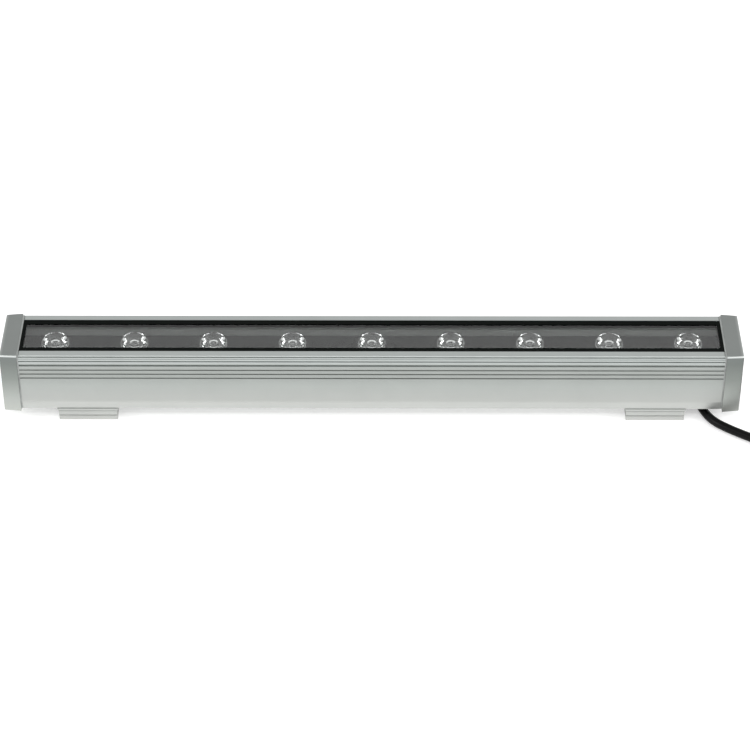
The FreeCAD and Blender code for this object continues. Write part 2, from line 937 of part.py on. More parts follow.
def driver_board():
    """The driver's board on four posts of an insulating tray, notched for the output leads."""
    middle = "(driver_x + driver_length / 2)"
    board = box("driver_length", "driver_width", "driver_thickness", middle, "0", "driver_z")
    node(board, "driver_board")
    tray_length = "(driver_length + 2 * tray_margin + 2 * tray_wall)"
    tray_width = "(driver_width + 2 * tray_margin + 2 * tray_wall)"
    shell = box(tray_length, tray_width, "tray_side", middle, "0", "chamber_bottom")
    hollow = box(
        f"({tray_length} - 2 * tray_wall)",
        f"({tray_width} - 2 * tray_wall)",
        "tray_side",
        middle,
        "0",
        "chamber_bottom + tray_wall",
    )
    end_wall = "(driver_x - tray_margin - tray_wall / 2)"
    notch = box("4 * tray_wall", "tray_notch_width", "tray_side", end_wall, "lead_hole_y", "driver_z")
    posts = [
        cylinder(
            "standoff_radius",
            "driver_z - chamber_bottom",
            f"({middle} + {end} * (driver_length / 2 - standoff_inset))",
            f"({across} * (driver_width / 2 - standoff_inset))",
            "chamber_bottom",
        )
        for end in (-1, 1)
        for across in (-1, 1)
    ]
    node(fuse(cut(shell, hollow, notch), *posts), "driver_insulator")


def transformer():
    x = "(driver_x + transformer_x)"
    window_length = "(transformer_length - 2 * core_limb)"
    window_height = "(transformer_height - 2 * core_yoke)"
    core = box("transformer_length", "transformer_width", "transformer_height", x, "0", DRIVER_TOP)
    window_z = f"({DRIVER_TOP} + core_yoke)"
    windows = box(window_length, "transformer_width", window_height, x, "0", window_z)
    axis_z = f"({DRIVER_TOP} + transformer_height / 2)"
    bobbin = cylinder("bobbin_radius", "bobbin_length", x, "-bobbin_length / 2", axis_z, "y")
    winding = box(
        f"({window_length} - 2 * winding_gap)",
        "winding_width",
        f"({window_height} - 2 * winding_gap)",
        x,
        "0",
        f"({window_z} + winding_gap)",
    )
    node(fuse(cut(core, windows), bobbin, winding), "driver_transformer")


def driver_parts():
    cans, chips = [], []
    for number in (1, 2, 3):
        can, chip = f"can{number}", f"chip{number}"
        can_x, chip_x = f"(driver_x + {can}_x)", f"(driver_x + {chip}_x)"
        cans.append(cylinder(f"{can}_radius", f"{can}_height", can_x, f"{can}_y", DRIVER_TOP))
        chips.append(
            box(f"{chip}_length", f"{chip}_width", "chip_height", chip_x, f"{chip}_y", DRIVER_TOP)
        )
    node(group(cans), "driver_capacitors")
    node(group(chips), "driver_chips")
    ring = doc.addObject("Part::Torus", "ring")
    bind(ring, Radius1="inductor_radius", Radius2="inductor_winding")
    place(ring, "driver_x + inductor_x", "inductor_y", f"{DRIVER_TOP} + inductor_winding")
    node(ring, "driver_inductor")


def terminals():
    block = box(
        "terminal_length", "terminal_width", "terminal_height", "terminal_x", "0", "chamber_bottom"
    )
    wells = [
        cylinder(
            "terminal_hole",
            "terminal_hole_depth",
            "terminal_x",
            f"({way} * terminal_pitch)",
            "chamber_bottom + terminal_height - terminal_hole_depth",
        )
        for way in (-1, 0, 1)
    ]
    node(cut(block, *wells), "terminal_block")
    head_z = "(chamber_bottom + earth_washer_thickness)"
    slot_z = f"({head_z} + earth_head_height - earth_slot_width)"
    washer = cylinder(
        "earth_washer_radius", "earth_washer_thickness", "earth_x", "earth_y", "chamber_bottom"
    )
    head = cylinder("earth_head_radius", "earth_head_height", "earth_x", "earth_y", head_z)
    slot = box("earth_slot_length", "earth_slot_width", "earth_slot_width", "earth_x", "earth_y", slot_z)
    node(cut(fuse(washer, head), slot), "earth_screw")


def inner_leads():
    """Three cores from the cord to the terminals and two leads up to the LED board."""
    radius = value("lead_radius")
    cores = []
    for way in (-1, 0, 1):
        at_cord = value(f"outlet_y + {way} * core_spacing")
        at_terminal = value(f"{way} * terminal_pitch")
        route = [(x, at_cord + (at_terminal - at_cord) * share, z) for x, share, z in CORE_ROUTE]
        cores.append(tube(route, radius))
    feature(Part.makeCompound(cores), "input_leads")

    leads = []
    for way in (-1, 1):
        y = value(f"lead_hole_y + {way} * output_lead_spacing / 2")
        leads.append(tube([(x, y, z) for x, z in OUTPUT_ROUTE], radius))
    feature(Part.makeCompound(leads), "output_leads")


# Cord outlet, cord, coil and connector


def cable_boot():
    """A rubber elbow: a barrel snapped into the bottom wall and a tapered strain relief."""
    flange_z = "(body_bottom - boot_flange_height)"
    barrel = cylinder("outlet_hole_radius", "chamber_bottom - boot_z", "outlet_x", "outlet_y", "boot_z")
    flange = cylinder("boot_flange_radius", "boot_flange_height", "outlet_x", "outlet_y", flange_z)
    lip = cone(
        "boot_lip_radius", "outlet_hole_radius", "boot_lip_height", "outlet_x", "outlet_y", "chamber_bottom"
    )
    elbow = bind(doc.addObject("Part::Sphere", "elbow"), Radius="boot_radius")
    place(elbow, "outlet_x", "outlet_y", "boot_z")
    neck = cylinder("boot_radius", "body_bottom - boot_z", "outlet_x", "outlet_y", "boot_z")
    heading = FreeCAD.Rotation(V(0, 0, 1), value("boot_heading")) * FreeCAD.Rotation(*AXES["x"])
    collar = bind(doc.addObject("Part::Cylinder", "collar"), Radius="boot_radius", Height="boot_straight")
    collar.Placement.Rotation = heading
    place(collar, "outlet_x", "outlet_y", "boot_z")
    relief = doc.addObject("Part::Cone", "relief")
    bind(relief, Radius1="boot_radius", Radius2="boot_nose_radius", Height="boot_taper")
    relief.Placement.Rotation = heading
    place(
        relief,
        "outlet_x + boot_straight * cos(boot_heading * 1deg)",
        "outlet_y + boot_straight * sin(boot_heading * 1deg)",
        "boot_z",
    )
    node(fuse(barrel, flange, lip, neck, elbow, collar, relief), "cable_boot")


def cord():
    """The cord's tube, and one solid for the coil of two layers that it runs into."""
    feature(tube(CORD_ROUTE, value("cord_diameter / 2"), "power_cord"), "power_cord")
    centre = V(value("coil_x"), value("coil_y"), 0)
    section = [
        ("coil_inner", "coil_base"),
        ("coil_outer", "coil_base"),
        ("coil_outer", "coil_base + coil_shoulder"),
        ("coil_top_outer", "coil_base + coil_height"),
        ("coil_top_inner", "coil_base + coil_height"),
        ("coil_inner", "coil_base + coil_shoulder"),
        ("coil_inner", "coil_base"),
    ]
    corners = [centre + V(value(radius), 0, value(z)) for radius, z in section]
    coil = Part.Face(Part.makePolygon(corners)).revolve(centre, V(0, 0, 1), 360)
    feature(coil, "cord_coil")


def coil_tie():
    """A strap round the coil's section."""
    inner, span = value("coil_inner"), value("coil_outer - coil_inner")
    base, height = value("coil_base"), value("coil_height")
    width, thickness = value("tie_width"), value("tie_thickness")
    strap = Part.makeBox(span + 2 * thickness, width, base + height + thickness)
    strap.translate(V(inner - thickness, -width / 2, 0))
    hole = Part.makeBox(span, width, height)
    hole.translate(V(inner, -width / 2, base))
    tie = feature(strap.cut(hole), "coil_tie")
    centre = V(value("coil_x"), value("coil_y"), 0)
    tie.Placement = FreeCAD.Placement(centre, FreeCAD.Rotation(V(0, 0, 1), value("tie_angle")))


def connector():
    """An in-line connector lying beside the coil, with its coupling ring at the open end."""
    x, y, z = "(coil_x + coil_exit_radius)", "(coil_y + coil_exit_y)", "plug_z"
    tail = cone("plug_tail_radius", "plug_body_radius", "plug_tail_length", x, y, z, "y")
    grip_y = f"({y} + plug_tail_length)"
    grip = cylinder("plug_body_radius", "plug_body_length", x, grip_y, z, "y")
    neck_y = f"({y} + plug_tail_length + plug_body_length)"
    neck = cylinder("plug_neck_radius", "plug_neck_length", x, neck_y, z, "y")
    recess_y = f"({neck_y} + plug_neck_length - plug_recess_depth)"
    recess = cylinder("plug_neck_radius - plug_wall", "plug_recess_depth", x, recess_y, z, "y")
    pins = [
        cylinder(
            "plug_pin_radius",
            "plug_pin_length + plug_pin_root",
            f"({x} + plug_pin_circle * cos({turn} * 1deg))",
            f"({recess_y} - plug_pin_root)",
            f"({z} + plug_pin_circle * sin({turn} * 1deg))",
            "y",
        )
        for turn in (90, 210, 330)
    ]
    node(fuse(cut(fuse(tail, grip, neck), recess), *pins), "cord_connector")

    ring_y = f"({neck_y} + ring_offset)"
    ring = cylinder("ring_radius", "ring_length", x, ring_y, z, "y")
    bore = cylinder("ring_bore", "ring_length", x, ring_y, z, "y")
    node(cut(ring, bore), "connector_ring")


# Brackets


def shoe(side, sign):
    """The upper leaf: it slides under the bar, keyed into the slot, and carries the hinge pin."""
    body = new_body(f"{side}_shoe")
    centre_y, centre_z = "hinge_y", "hinge_z"
    tangent = "(hinge_y - sqrt(knuckle_radius ^ 2 - (hinge_z - shoe_bottom) ^ 2))"
    sketch = sketch_on(body, "YZ_Plane")
    outline(
        sketch,
        [
            ("bracket_front", "shoe_bottom"),
            (tangent, "shoe_bottom", "knuckle_radius"),
            (f"{centre_y} + knuckle_radius", centre_z),
            (f"{centre_y} + knuckle_radius", "shoe_top"),
            ("bracket_front", "shoe_top"),
        ],
    )
    pad(body, sketch, "bracket_width + 2 * bracket_flare", "Symmetric")
    sketch = sketch_on(body, "XY_Plane", "shoe_top - shoe_key_root")
    key_half = "(shoe_key_width / 2)"
    rectangle(
        sketch,
        "-bracket_width / 2 + shoe_key_inset",
        f"-{key_half}",
        "bracket_width / 2 - shoe_key_inset",
        key_half,
    )
    pad(body, sketch, "shoe_key_height + shoe_key_root")

    sketch = sketch_on(body, "XZ_Plane")
    below = "(hinge_z - knuckle_radius - overcut)"
    for way in (-1, 1):
        straight = f"({way} * bracket_width / 2)"
        flared = f"({way} * (bracket_width / 2 + bracket_flare))"
        outside = f"({way} * (bracket_width / 2 + bracket_flare + overcut))"
        outline(
            sketch,
            [
                (straight, below),
                (outside, below),
                (outside, "shoe_top - bracket_flare"),
                (flared, "shoe_top - bracket_flare"),
                (straight, "shoe_top - bracket_flare_height"),
            ],
        )
    pocket(body, sketch)
    sketch = sketch_on(body, "YZ_Plane")
    outline(
        sketch,
        [
            ("bracket_front - overcut", "shoe_line_z - shoe_line_width / 2"),
            ("bracket_front", "shoe_line_z - shoe_line_width / 2"),
            ("bracket_front + shoe_line_depth", "shoe_line_z"),
            ("bracket_front", "shoe_line_z + shoe_line_width / 2"),
            ("bracket_front - overcut", "shoe_line_z + shoe_line_width / 2"),
        ],
    )
    pocket(body, sketch)
    sketch = sketch_on(body, "XY_Plane")
    notch = "(knuckle_half + knuckle_gap)"
    notch_back = "(hinge_y + knuckle_radius + overcut)"
    rectangle(sketch, f"-{notch}", "foot_back - knuckle_front_gap", notch, notch_back)
    pocket(body, sketch)
    sketch = sketch_on(body, "YZ_Plane")
    circle(sketch, centre_y, centre_z, "pin_hole_radius")
    pocket(body, sketch)
    sketch = sketch_on(body, "XY_Plane")
    circle(sketch, "0", "0", "bolt_clearance")
    pocket(body, sketch)
    sketch = sketch_on(body, "XY_Plane", "shoe_bottom + bolt_sink_depth")
    circle(sketch, "0", "0", "bolt_sink_radius")
    pocket(body, sketch, "bolt_sink_depth + overcut")
    place(body, f"{sign} * bracket_x")


def foot(side, sign):
    """The lower leaf: it is screwed to a surface, and hinges at the back of the shoe."""
    body = new_body(f"{side}_foot")
    half = "(bracket_width / 2)"
    sketch = sketch_on(body, "XY_Plane")
    rectangle(sketch, f"-{half}", "bracket_front", half, "foot_back")
    leaf = pad(body, sketch, "foot_thickness")
    front, wide = value("bracket_front"), value(half)
    rounded(body, leaf, lambda p: near(p.y, front) and near(abs(p.x), wide), "foot_corner")
    sketch = sketch_on(body, "YZ_Plane")
    back = "(hinge_y + knuckle_radius)"
    outline(
        sketch,
        [
            ("foot_back - foot_overlap", "0"),
            ("hinge_y + foot_overlap", "0"),
            (back, "hinge_z - knuckle_flat"),
            (back, "hinge_z", "knuckle_radius"),
            ("hinge_y", "hinge_z + knuckle_radius", "knuckle_radius"),
            ("hinge_y - knuckle_radius", "hinge_z"),
            ("hinge_y - knuckle_radius", "foot_thickness"),
            ("foot_back - foot_overlap", "foot_thickness"),
        ],
    )
    pad(body, sketch, "2 * knuckle_half", "Symmetric")
    sketch = sketch_on(body, "YZ_Plane")
    circle(sketch, "hinge_y", "hinge_z", "pin_running_radius")
    pocket(body, sketch)
    sketch = sketch_on(body, "XY_Plane")
    circle(sketch, "0", "0", "foot_access_radius")
    for y in ("-foot_hole_y", "foot_hole_y"):
        circle(sketch, "0", y, "foot_hole_radius")
    pocket(body, sketch, "foot_thickness", reverse=True)
    sketch = sketch_on(body, "XY_Plane", "foot_thickness")
    for y in ("-foot_hole_y", "foot_hole_y"):
        circle(sketch, "0", y, "foot_sink_radius")
    pocket(body, sketch, "foot_sink_depth")
    place(body, f"{sign} * bracket_x")


def bracket_hardware(side, sign):
    x = f"({sign} * bracket_x)"
    pin_length = "(bracket_width - 2 * pin_inset)"
    pin = cylinder("pin_radius", pin_length, f"{x} - {pin_length} / 2", "hinge_y", "hinge_z", "x")
    node(pin, f"{side}_hinge_pin")
    seat = "(shoe_bottom + bolt_sink_depth)"
    head = cylinder("bolt_head_radius", "bolt_head_height", x, "0", f"{seat} - bolt_head_height")
    shank = cylinder("bolt_radius", "bolt_length", x, "0", seat)
    socket = hexagon("bolt_radius", "bolt_head_height / 2", x, "0", f"{seat} - bolt_head_height")
    node(cut(fuse(head, shank), socket), f"{side}_clamp_bolt")
    plate = box("nut_length", "nut_width", "nut_thickness", x, "0", "nut_bottom")
    thread = cylinder("nut_hole_radius", "nut_thickness", x, "0", "nut_bottom")
    node(cut(plate, thread), f"{side}_slot_nut")


SIDES = (("left", -1), ("right", 1))

housing_profile()
for side_name, side_sign in SIDES:
    end_cap(side_name, side_sign)
    end_gasket(side_name, side_sign)
    cap_screws(side_name, side_sign)
window()
led_board()
emitters_and_holders()
for lens_number, row_place in enumerate(LEDS, 1):
    lens(lens_number, row_place)
driver_board()
transformer()
driver_parts()
terminals()
inner_leads()
cable_boot()
cord()
coil_tie()
connector()
for side_name, side_sign in SIDES:
    shoe(side_name, side_sign)
    foot(side_name, side_sign)
    bracket_hardware(side_name, side_sign)

doc.recompute()
for obj in doc.Objects:
    assert not {"Invalid", "Error"} & set(obj.State), f"{obj.Label} failed: {obj.State}"
os.makedirs("parts", exist_ok=True)
for name, obj in nodes.items():
    shape = obj.Shape
    assert not shape.isNull() and shape.isValid() and shape.Volume > 0, f"{name} has a bad shape"
    shape.exportStep(f"parts/{name}.step")
print(f"{len(nodes)} nodes written")
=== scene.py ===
import json
import math

import bmesh
import bpy
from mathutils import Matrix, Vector


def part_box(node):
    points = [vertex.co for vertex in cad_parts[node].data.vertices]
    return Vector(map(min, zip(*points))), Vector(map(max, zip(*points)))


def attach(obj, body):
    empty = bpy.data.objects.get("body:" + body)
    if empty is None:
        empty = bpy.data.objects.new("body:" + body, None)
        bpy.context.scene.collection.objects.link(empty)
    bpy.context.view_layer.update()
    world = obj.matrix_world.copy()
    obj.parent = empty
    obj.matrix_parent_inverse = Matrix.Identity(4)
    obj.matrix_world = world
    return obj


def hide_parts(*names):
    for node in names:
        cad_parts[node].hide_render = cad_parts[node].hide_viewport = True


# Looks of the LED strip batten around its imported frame. Metres, +X along the bar towards the
# cord's end, the front faces -Y, and the feet stand on Z = 0.

MM = 0.001
TAU = 2 * math.pi

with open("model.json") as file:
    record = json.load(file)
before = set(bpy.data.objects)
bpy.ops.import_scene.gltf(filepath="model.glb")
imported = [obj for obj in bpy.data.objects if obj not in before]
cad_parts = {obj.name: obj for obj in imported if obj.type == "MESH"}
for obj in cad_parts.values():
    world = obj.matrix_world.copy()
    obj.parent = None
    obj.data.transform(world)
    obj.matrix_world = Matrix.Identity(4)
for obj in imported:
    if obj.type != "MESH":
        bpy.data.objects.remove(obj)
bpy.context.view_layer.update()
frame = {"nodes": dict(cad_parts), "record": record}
nodes = frame["nodes"]

# Materials. A noise scale is roughly the number of features in a metre, a bump's distance is in
# metres, and a spread says how far the roughness goes below and above its middle value.

# The height at which the metals' tones, with their painted light and shade, end.
TONE_HEIGHT = 60 * MM
METALLIC, MATT_METALLIC = 0.9, 0.05
METAL_CLOUD_SCALE, METAL_CLOUD, METAL_SPREAD = 38.0, (0.93, 1.05), (0.06, 0.08)
RUBBER_CLOUD_SCALE, RUBBER_DARKER, RUBBER_SPREAD = 60.0, 0.7, (0.08, 0.1)
PLASTIC_CLOUD_SCALE, PLASTIC_DARKER, PLASTIC_SPREAD = 90.0, 0.85, (0.05, 0.07)
WIPED_SCALE, WIPED_ROUGHNESS = 45.0, 0.012
TRACK_SCALE, TRACK_STRETCH, TRACK_STOPS = 95.0, 1.6, (0.35, 0.5)
BOARD_GRAIN, BOARD_ROUGHNESS = 700.0, (0.28, 0.4)
# Scale along X that draws a pattern out into lines, and the scales across it.
LINE_SCALES = (0.01, 1.0, 1.0)
FINE_BUMP, BUMP = 0.00002, 0.00003
CLOUD_STOPS = (0.3, 0.7)
NOISE_ROUGHNESS = 0.55


def colour(r, g, b):
    """An sRGB screen colour, 0 to 255, as the linear colour that a shader takes."""
    channels = (c / 255 for c in (r, g, b))
    return tuple(c / 12.92 if c <= 0.04045 else ((c + 0.055) / 1.055) ** 2.4 for c in channels) + (1.0,)


class Paint:
    """A material under construction: its shader, and short ways to add nodes to it."""

    def __init__(self, name, **sockets):
        self.material = bpy.data.materials.new(name)
        self.material.use_nodes = True
        self.tree = self.material.node_tree
        self.shader = self.tree.nodes["Principled BSDF"]
        for socket, amount in sockets.items():
            self.shader.inputs[socket.replace("_", " ")].default_value = amount
        self.place = self.add("ShaderNodeTexCoord").outputs["Object"]

    def add(self, kind, **sockets):
        made = self.tree.nodes.new(kind)
        for socket, amount in sockets.items():
            self.feed(made.inputs[socket.replace("_", " ")], amount)
        return made

    def feed(self, socket, amount):
        if isinstance(amount, bpy.types.NodeSocket):
            self.tree.links.new(amount, socket)
        else:
            socket.default_value = amount

    def stretched(self, x, y, z):
        """Object coordinates, each axis scaled: a small scale draws a pattern out along it."""
        return self.add("ShaderNodeMapping", Vector=self.place, Scale=(x, y, z)).outputs["Vector"]

    def noise(self, scale, detail=3.0, at=None):
        made = self.add(
            "ShaderNodeTexNoise",
            Vector=self.place if at is None else at,
            Scale=scale,
            Detail=detail,
            Roughness=NOISE_ROUGHNESS,
        )
        return made.outputs["Fac"]

    def ramp(self, fac, *stops):
        made = self.add("ShaderNodeValToRGB", Fac=fac)
        line = made.color_ramp.elements
        while len(line) < len(stops):
            line.new(0.5)
        for element, (position, tint) in zip(line, stops):
            element.position = position
            element.color = tint
        return made.outputs["Color"]

    def between(self, fac, low, high):
        """A number from low to high as fac goes from 0 to 1."""
        made = self.add("ShaderNodeMapRange", Value=fac)
        made.inputs["To Min"].default_value = low
        made.inputs["To Max"].default_value = high
        return made.outputs["Result"]

    def work_out(self, operation, *amounts):
        made = self.add("ShaderNodeMath")
        made.operation = operation
        for socket, amount in zip(made.inputs, amounts):
            self.feed(socket, amount)
        return made.outputs["Value"]

    def cloudy(self, scale, dark, light):
        """A tint that drifts between two shades in soft patches."""
        return self.ramp(self.noise(scale), (CLOUD_STOPS[0], dark), (CLOUD_STOPS[1], light))

    def bump(self, height, strength, distance):
        made = self.add("ShaderNodeBump", Height=height, Strength=strength, Distance=distance)
        return made.outputs["Normal"]

    def roughen(self, fac, roughness, spread):
        low, high = spread
        self.set(Roughness=self.between(fac, roughness - low, roughness + high))

    def set(self, **sockets):
        for socket, amount in sockets.items():
            self.feed(self.shader.inputs[socket.replace("_", " ")], amount)
        return self


def darker(tint, share):
    """That share of a linear colour."""
    return tuple(channel * share for channel in tint[:3]) + (1.0,)


def metal(name, tones_and_painted_shade, roughness, lines=None, grain=900.0, grain_depth=FINE_BUMP, matt=None):
    """Satin metal, its tone by height with painted light and shade in it: fine lines along X where
    drawn, a fine grain where cast.

    matt is a half width and a least height in mm. Surfaces inside that width and above that height
    are dull.
    """
    paint = Paint(name, Metallic=METALLIC, IOR=1.5)
    places = paint.add("ShaderNodeSeparateXYZ", Vector=paint.place).outputs
    stops = [(z * MM / TONE_HEIGHT, colour(*tint)) for z, tint in tones_and_painted_shade]
    # The height ramp paints light and shade into the base colour.
    tone_and_painted_shade = paint.ramp(paint.work_out("MULTIPLY", places["Z"], 1 / TONE_HEIGHT), *stops)
    if matt:
        aside = paint.work_out("LESS_THAN", paint.work_out("ABSOLUTE", places["Y"]), matt[0] * MM)
        above = paint.work_out("GREATER_THAN", places["Z"], matt[1] * MM)
        dull = paint.work_out("MULTIPLY", aside, above)
        paint.set(Metallic=paint.between(dull, METALLIC, MATT_METALLIC))
    if lines:
        fine = paint.noise(lines, at=paint.stretched(*LINE_SCALES))
    else:
        fine = paint.noise(grain, detail=2.0)
    cloud = paint.between(paint.noise(METAL_CLOUD_SCALE, detail=4.0), *METAL_CLOUD)
    mottle = paint.add("ShaderNodeVectorMath", Vector=tone_and_painted_shade)
    mottle.operation = "SCALE"
    paint.feed(mottle.inputs["Scale"], cloud)
    paint.set(Base_Color=mottle.outputs["Vector"])
    paint.roughen(fine, roughness, METAL_SPREAD)
    return paint.set(Normal=paint.bump(fine, strength=0.25, distance=grain_depth)).material


def rubber(name, tint, roughness, grain=1500.0, depth=BUMP, gloss=0.3):
    paint = Paint(name, IOR=1.52, Specular_IOR_Level=gloss)
    fine = paint.noise(grain)
    paint.set(Base_Color=paint.cloudy(RUBBER_CLOUD_SCALE, darker(tint, RUBBER_DARKER), tint))
    paint.roughen(fine, roughness, RUBBER_SPREAD)
    return paint.set(Normal=paint.bump(fine, strength=0.3, distance=depth)).material


def clear(name, ior, roughness, tint=(1.0, 1.0, 1.0, 1.0)):
    """Clear glass or plastic, a little duller in faint patches, as if wiped."""
    paint = Paint(name, Base_Color=tint, IOR=ior, Transmission_Weight=1.0)
    wiped = paint.noise(WIPED_SCALE, detail=2.0)
    return paint.set(Roughness=paint.between(wiped, roughness, roughness + WIPED_ROUGHNESS)).material


def plastic(name, tint, roughness, grain=1200.0):
    paint = Paint(name, IOR=1.5)
    fine = paint.noise(grain, detail=2.0)
    paint.set(Base_Color=paint.cloudy(PLASTIC_CLOUD_SCALE, darker(tint, PLASTIC_DARKER), tint))
    paint.roughen(fine, roughness, PLASTIC_SPREAD)
    return paint.set(Normal=paint.bump(fine, strength=0.15, distance=FINE_BUMP)).material


def circuit_board(name, mask, copper):
    """Solder mask over faint copper areas."""
    paint = Paint(name, IOR=1.55)
    drawn_out = paint.stretched(1.0, TRACK_STRETCH, 1.0)
    cells = paint.add("ShaderNodeTexVoronoi", Vector=drawn_out, Scale=TRACK_SCALE)
    tracks = cells.outputs["Distance"]
    paint.set(Base_Color=paint.ramp(tracks, *zip(TRACK_STOPS, (mask, copper))))
    paint.set(Roughness=paint.between(paint.noise(BOARD_GRAIN), *BOARD_ROUGHNESS))
    return paint.set(Normal=paint.bump(tracks, strength=0.1, distance=BUMP)).material


# Tones of the metals by height in mm, with light and shade painted in. The sides are light at the
# foot, a painted reflection of the bright floor, and darker higher up, painted shade. The profile
# gets lighter again towards its rim, painted light, and the caps have a painted highlight on their
# bevel under a top darkened by painted shade.
PROFILE_PAINTED_SHADE = [
    (11.0, (190, 192, 189)),
    (15.5, (188, 190, 187)),
    (17.5, (176, 178, 175)),
    (30.0, (168, 172, 169)),
    (37.0, (158, 162, 159)),
    (45.0, (160, 164, 161)),
    (50.0, (176, 181, 179)),
    (56.0, (182, 187, 185)),
]
# Painted shade: the caps get darker towards the top and are darkest on top. Painted highlight: the
# bright band on the bevel from 54.7 to 55.95 mm.
CAP_PAINTED_SHADE_AND_HIGHLIGHT = [
    (9.0, (182, 185, 180)),
    (20.0, (170, 174, 170)),
    (36.0, (137, 142, 138)),
    (50.0, (118, 123, 120)),
    (54.7, (118, 123, 121)),
    (55.1, (218, 222, 220)),
    (55.7, (218, 222, 220)),
    (55.95, (143, 147, 145)),
]
# Painted light and shade: the brackets are lighter at the foot and darker higher up.
BRACKET_PAINTED_SHADE = [(0.0, (190, 191, 188)), (6.0, (184, 186, 183)), (12.0, (178, 181, 178))]
STEEL_TONES = [(0.0, (186, 186, 184)), (60.0, (192, 192, 190))]
BLACK_STEEL_TONES = [(0.0, (40, 40, 40)), (60.0, (46, 46, 46))]

# Half width and least height in mm of the window's inner walls.
MATT = (17.4, 30.0)
DRAWN_LINES = 2600.0
PROFILE_LOOK = {"lines": DRAWN_LINES, "grain_depth": 0.000005, "matt": MATT}

MATERIALS = {
    "profile_aluminium": metal("profile", PROFILE_PAINTED_SHADE, 0.4, **PROFILE_LOOK),
    "cast_cap": metal("cap", CAP_PAINTED_SHADE_AND_HIGHLIGHT, 0.36, grain=1600.0),
    "gasket_rubber": rubber("gasket", colour(172, 175, 173), 0.6),
    "stainless": metal("screws", STEEL_TONES, 0.28, grain=3000.0),
    "bracket_aluminium": metal("bracket", BRACKET_PAINTED_SHADE, 0.42, lines=DRAWN_LINES),
    "window_glass": clear("window", 1.5, 0.0, (0.97, 0.99, 0.98, 1.0)),
    "seal_rubber": rubber("seal", colour(10, 14, 12), 0.5, gloss=0.03),
    "board_black": circuit_board("led_board", colour(7, 13, 11), colour(12, 19, 17)),
    "thermal_pad": rubber("pad", colour(178, 182, 188), 0.8),
    "black_screw": metal("black_screws", BLACK_STEEL_TONES, 0.4),
    "led_package": plastic("emitter", colour(150, 152, 150), 0.3),
    "clear_holder": clear("holder", 1.58, 0.04, (0.95, 0.97, 0.96, 1.0)),
    "lens_acrylic": clear("lens", 1.49, 0.0),
    "driver_laminate": circuit_board("driver", colour(22, 96, 52), colour(34, 120, 66)),
    "insulator_film": plastic("insulator", colour(224, 222, 214), 0.5),
    "ferrite": plastic("ferrite", colour(74, 74, 76), 0.55, grain=2500.0),
    "capacitor_sleeve": plastic("capacitor", colour(34, 44, 70), 0.3),
    "chip_plastic": plastic("chip", colour(46, 46, 47), 0.6, grain=3000.0),
    "terminal_plastic": plastic("terminal", colour(66, 132, 84), 0.35),
    "core_insulation": plastic("core", colour(122, 78, 50), 0.4),
    "lead_insulation": plastic("lead", colour(160, 36, 36), 0.45),
    "cable_rubber": rubber("cable", colour(8, 8, 9), 0.3, grain=2200.0, gloss=0.12),
    "tie_fabric": rubber("tie", colour(38, 38, 39), 0.85, grain=2800.0, depth=0.0001),
    "connector_plastic": plastic("connector", colour(30, 30, 32), 0.5, grain=2600.0),
}

for part in frame["record"]["subparts"]:
    mesh = nodes[part["node"]].data
    mesh.materials.clear()
    mesh.materials.append(MATERIALS[part["material_slot"]])


# Degrees between two faces from which their edge is sharp.
SHARP_EDGE = 35


def add_piece(name, slot, vertices, faces, replaced):
    """A mesh on the bar, in the place of the CAD node whose material it takes."""
    mesh = bpy.data.meshes.new(name)
    mesh.from_pydata(vertices, [], faces)
    work = bmesh.new()
    work.from_mesh(mesh)
    bmesh.ops.recalc_face_normals(work, faces=work.faces)
    work.to_mesh(mesh)
    work.free()
    mesh.shade_smooth()
    mesh.set_sharp_from_angle(angle=math.radians(SHARP_EDGE))
    mesh.materials.append(MATERIALS[slot])
    piece = bpy.data.objects.new(name, mesh)
    bpy.context.collection.objects.link(piece)
    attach(piece, "bar")
    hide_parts(replaced)


# The cord. Its free stretch is the given route of the CAD model, and its turns are a loop.

CORD_RADIUS = 3.0 * MM
CORD_ROUTE = [
    (0.2250, -0.01035, 0.0046),
    (0.2278, -0.0187, 0.0037),
    (0.2336, -0.0276, 0.00315),
    (0.2432, -0.0354, 0.00305),
    (0.2549, -0.0433, 0.00305),
    (0.2686, -0.0521, 0.0031),
    (0.2836, -0.0612, 0.0036),
]
COIL_CENTRE = (0.306, -0.030)
COIL_START = -121.0
STEPS_PER_TURN = 16
CONTROL_SCALE = 1 / math.cos(math.pi / STEPS_PER_TURN)
BOTTOM_Z, TOP_Z = 4.05 * MM, 9.6 * MM
CONNECTOR_Z = 7.8 * MM
# The last two points: one before the connector's tail, the other inside it.
LEAD_IN, LEAD_IN_Z, LEAD_DEPTH = 6 * MM, 8.3 * MM, 4 * MM
# Radius of the winding in mm at each number of turns: inwards row by row in the bottom layer, up
# at its inner row, then back out on top.
WINDING = [
    (0.0, 38.4),
    (0.4, 38.4),
    (1.0, 32.0),
    (1.4, 32.0),
    (2.0, 25.6),
    (2.65, 25.6),
    (3.0, 28.8),
    (3.36, 28.8),
    (3.6, 31.8),
    (4.0, 35.0),
    (4.336, 35.2),
]
# The number of turns at which the cord starts and ends its climb to the top layer.
CLIMB = (2.35, 2.65)


def along(table, at):
    """The value at a place between two rows of a table."""
    for (a, low), (b, high) in zip(table, table[1:]):
        if at <= b:
            return low + (high - low) * (at - a) / (b - a)
    return table[-1][1]


def cord_height(turn):
    """Height of the cord's centre after a number of turns: two levels and an eased climb."""
    climb = min(max((turn - CLIMB[0]) / (CLIMB[1] - CLIMB[0]), 0.0), 1.0)
    return BOTTOM_Z + (TOP_Z - BOTTOM_Z) * climb * climb * (3 - 2 * climb)


